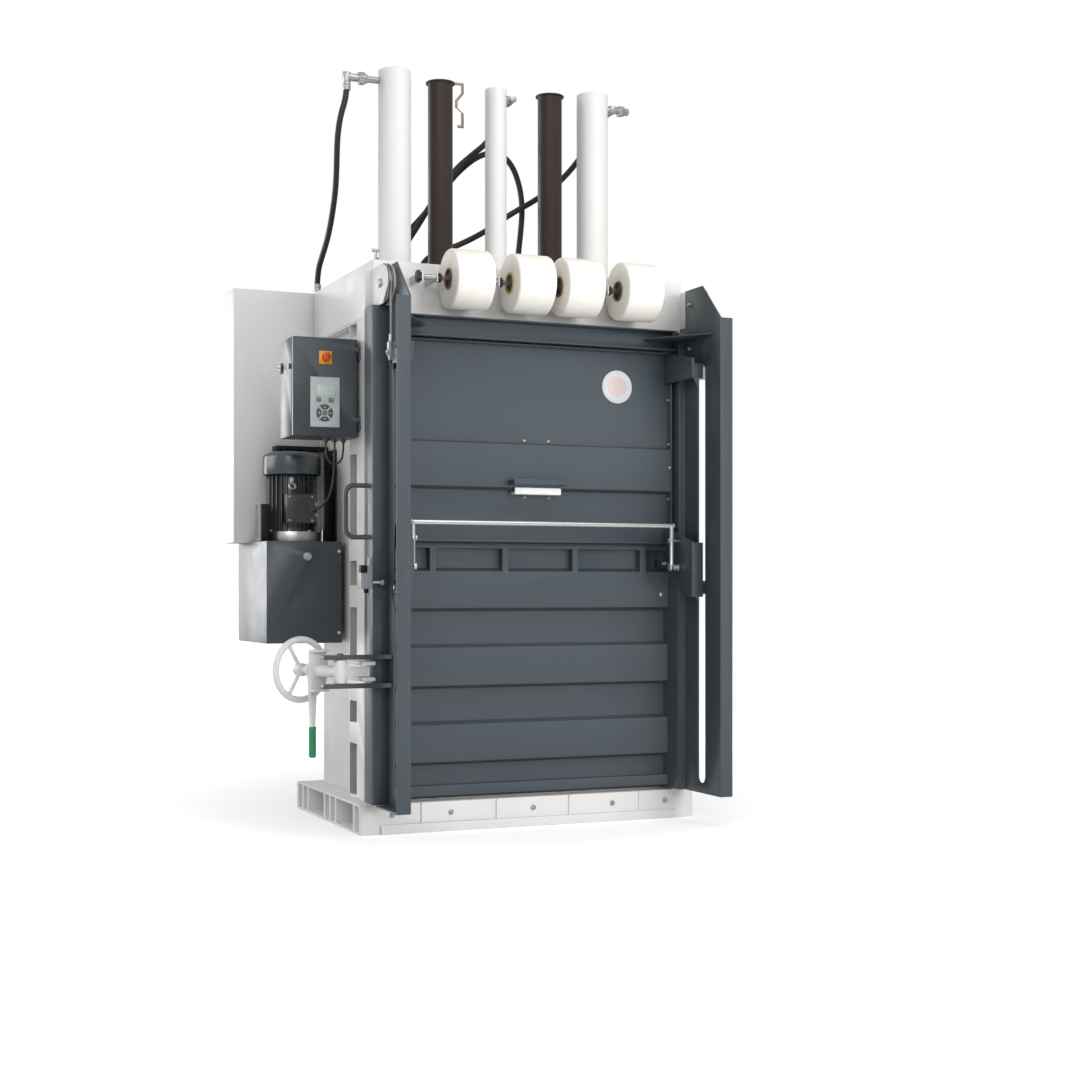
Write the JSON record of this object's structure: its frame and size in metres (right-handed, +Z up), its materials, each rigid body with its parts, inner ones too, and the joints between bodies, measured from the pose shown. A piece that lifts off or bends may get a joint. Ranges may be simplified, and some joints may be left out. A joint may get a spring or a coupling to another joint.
{
  "type": "vertical baling press",
  "caption": "Upright hydraulic press that packs loose paper and film into strapped bales, with a sliding loading door in a swinging dark front, strap rolls and a side-mounted drive.",
  "frame": {"origin": "middle of the base frame's underside, on the floor", "axes": "+X to the right along the front, +Y to the back, +Z up"},
  "size_m": [1.7446, 1.321, 2.985],
  "materials": {
    "dark_paint": "satin dark grey powder coat",
    "white_paint": "satin off-white powder coat",
    "brown_paint": "satin brown-grey coat",
    "zinc": "zinc plated",
    "steel": "dull steel",
    "chrome": "hard chrome",
    "rope_steel": "galvanised wire rope",
    "grey_paint": "blue-grey motor paint",
    "black_paint": "semi-matt black",
    "cast_weight": "raw casting",
    "nylon": "natural nylon",
    "hose_rubber": "matt black rubber",
    "roll_film": "wound woven strap, cream",
    "switch_yellow": "yellow plate",
    "switch_red": "red grip",
    "keypad_foil": "light grey membrane",
    "fan_plastic": "black plastic",
    "key_green": "green key",
    "key_red": "red key",
    "key_dark": "dark key"
  },
  "bodies": {
    "frame": {"base_frame": "white_paint", "left_side": "white_paint", "right_side": "white_paint", "back_wall": "white_paint", "crosshead": "white_paint", "cylinder_barrels": "white_paint", "cylinder_fittings": "zinc", "roll_carrier": "white_paint", "star_knobs": "black_paint", "tank_housing": "dark_paint", "motor_body": "grey_paint", "motor_cowl": "black_paint", "valve_block": "zinc", "rear_cover": "white_paint", "control_box": "dark_paint", "frame_bolts": "zinc", "outer_hoses": "hose_rubber", "inner_hoses": "hose_rubber", "cables": "hose_rubber"},
    "ram": {"press_plate": "white_paint", "piston_rods": "chrome", "guide_tubes": "brown_paint", "switch_strip": "zinc"},
    "front_door": {"bale_door": "dark_paint", "left_guard": "dark_paint", "right_guard": "dark_paint", "counterweight_ducts": "dark_paint", "top_beam": "dark_paint", "pulley_brackets": "white_paint", "lock_arms": "dark_paint", "limit_switch": "black_paint", "door_ropes": "rope_steel", "weight_ropes": "rope_steel", "door_bolts": "zinc"},
    "loading_door": {"door_panel": "dark_paint", "door_arms": "dark_paint", "door_handle": "dark_paint", "guide_block": "white_paint"},
    "upper_rollers": {"upper_rollers": "nylon"},
    "lower_rollers": {"lower_rollers": "nylon"},
    "bail_bar": {"bail_bar": "zinc"},
    "counterweights": {"counterweights": "cast_weight"},
    "rope_pulleys": {"rope_pulleys": "steel"},
    "lock_swivel": {"lock_swivel": "zinc"},
    "handwheel": {"handwheel": "white_paint"},
    "lock_lever": {"lock_lever": "steel"},
    "switch_plunger": {"switch_plunger": "zinc"},
    "motor_fan": {"motor_fan": "fan_plastic"},
    "control_cover": {"control_cover": "dark_paint", "main_switch": "switch_yellow", "keypad": "keypad_foil"},
    "switch_knob": {"switch_knob": "switch_red"},
    "start_button": {"start_button": "key_green"},
    "stop_button": {"stop_button": "key_red"},
    "arrow_pad": {"arrow_pad": "key_dark"},
    "centre_button": {"centre_button": "key_dark"},
    "strap_roll_1": {"strap_roll_1": "roll_film"},
    "strap_roll_2": {"strap_roll_2": "roll_film"},
    "strap_roll_3": {"strap_roll_3": "roll_film"},
    "strap_roll_4": {"strap_roll_4": "roll_film"}
  },
  "joints": [
    {"name": "ram_stroke", "type": "slide", "parent": "frame", "child": "ram", "axis": [0, 0, -1], "range_m": [0, 0.75]},
    {"name": "front_door_swing", "type": "hinge", "parent": "frame", "child": "front_door", "pos_m": [0.704, -0.44, 0.9], "axis": [0, 0, 1], "range_deg": [0, 110]},
    {"name": "loading_door_travel", "type": "slide", "parent": "front_door", "child": "loading_door", "axis": [0, 0, -1], "range_m": [0, 0.6], "deforming": ["door_ropes"]},
    {"name": "upper_rollers_turn", "type": "hinge", "parent": "loading_door", "child": "upper_rollers", "pos_m": [0, -0.653, 1.765], "axis": [1, 0, 0], "continuous": true},
    {"name": "lower_rollers_turn", "type": "hinge", "parent": "loading_door", "child": "lower_rollers", "pos_m": [0, -0.653, 0.925], "axis": [1, 0, 0], "continuous": true},
    {"name": "bail_bar_swing", "type": "hinge", "parent": "loading_door", "child": "bail_bar", "pos_m": [0, -0.57, 1.003], "axis": [1, 0, 0], "range_deg": [0, 35]},
    {"name": "counterweight_travel", "type": "slide", "parent": "front_door", "child": "counterweights", "axis": [0, 0, 1], "range_m": [0, 0.6], "deforming": ["weight_ropes"]},
    {"name": "rope_pulleys_turn", "type": "hinge", "parent": "front_door", "child": "rope_pulleys", "pos_m": [0, -0.583, 2.035], "axis": [1, 0, 0], "continuous": true},
    {"name": "lock_swing", "type": "hinge", "parent": "front_door", "child": "lock_swivel", "pos_m": [-0.822, -0.59, 0.62], "axis": [0, 0, 1], "range_deg": [0, 90]},
    {"name": "handwheel_turn", "type": "hinge", "parent": "lock_swivel", "child": "handwheel", "pos_m": [-0.822, -0.59, 0.62], "axis": [-0.3535, 0.9354, 0], "continuous": true},
    {"name": "lock_lever_swing", "type": "hinge", "parent": "lock_swivel", "child": "lock_lever", "pos_m": [-0.822, -0.59, 0.62], "axis": [-0.3535, 0.9354, 0], "range_deg": [-40, 40]},
    {"name": "switch_plunger_press", "type": "slide", "parent": "front_door", "child": "switch_plunger", "axis": [-1, 0, 0], "range_m": [0, 0.005], "stiffness_N_per_m": 400},
    {"name": "motor_fan_turn", "type": "hinge", "parent": "frame", "child": "motor_fan", "pos_m": [-0.778, 0.24, 1.4], "axis": [0, 0, 1], "continuous": true},
    {"name": "control_cover_swing", "type": "hinge", "parent": "frame", "child": "control_cover", "pos_m": [-0.656, -0.286, 1.684], "axis": [0, 0, 1], "range_deg": [0, 60]},
    {"name": "switch_knob_turn", "type": "hinge", "parent": "control_cover", "child": "switch_knob", "pos_m": [-0.788, -0.3, 1.795], "axis": [0, -1, 0], "range_deg": [0, 90]},
    {"name": "start_button_press", "type": "slide", "parent": "control_cover", "child": "start_button", "axis": [0, 1, 0], "range_m": [0, 0.002], "stiffness_N_per_m": 200},
    {"name": "stop_button_press", "type": "slide", "parent": "control_cover", "child": "stop_button", "axis": [0, 1, 0], "range_m": [0, 0.002], "stiffness_N_per_m": 200},
    {"name": "arrow_pad_press", "type": "slide", "parent": "control_cover", "child": "arrow_pad", "axis": [0, 1, 0], "range_m": [0, 0.002], "stiffness_N_per_m": 200},
    {"name": "centre_button_press", "type": "slide", "parent": "control_cover", "child": "centre_button", "axis": [0, 1, 0], "range_m": [0, 0.002], "stiffness_N_per_m": 200},
    {"name": "strap_roll_1_turn", "type": "hinge", "parent": "frame", "child": "strap_roll_1", "pos_m": [-0.32, -0.56, 2.076], "axis": [1, 0, 0], "continuous": true},
    {"name": "strap_roll_2_turn", "type": "hinge", "parent": "frame", "child": "strap_roll_2", "pos_m": [-0.077, -0.56, 2.076], "axis": [1, 0, 0], "continuous": true},
    {"name": "strap_roll_3_turn", "type": "hinge", "parent": "frame", "child": "strap_roll_3", "pos_m": [0.13, -0.56, 2.076], "axis": [1, 0, 0], "continuous": true},
    {"name": "strap_roll_4_turn", "type": "hinge", "parent": "frame", "child": "strap_roll_4", "pos_m": [0.367, -0.56, 2.076], "axis": [1, 0, 0], "continuous": true}
  ],
  "couplings": [
    {"joint": "counterweight_travel", "follows": "loading_door_travel", "ratio": 1},
    {"joint": "rope_pulleys_turn", "follows": "loading_door_travel", "rad_per_m": 14.286},
    {"joint": "upper_rollers_turn", "follows": "loading_door_travel", "rad_per_m": 37.037},
    {"joint": "lower_rollers_turn", "follows": "loading_door_travel", "rad_per_m": 37.037}
  ]
}
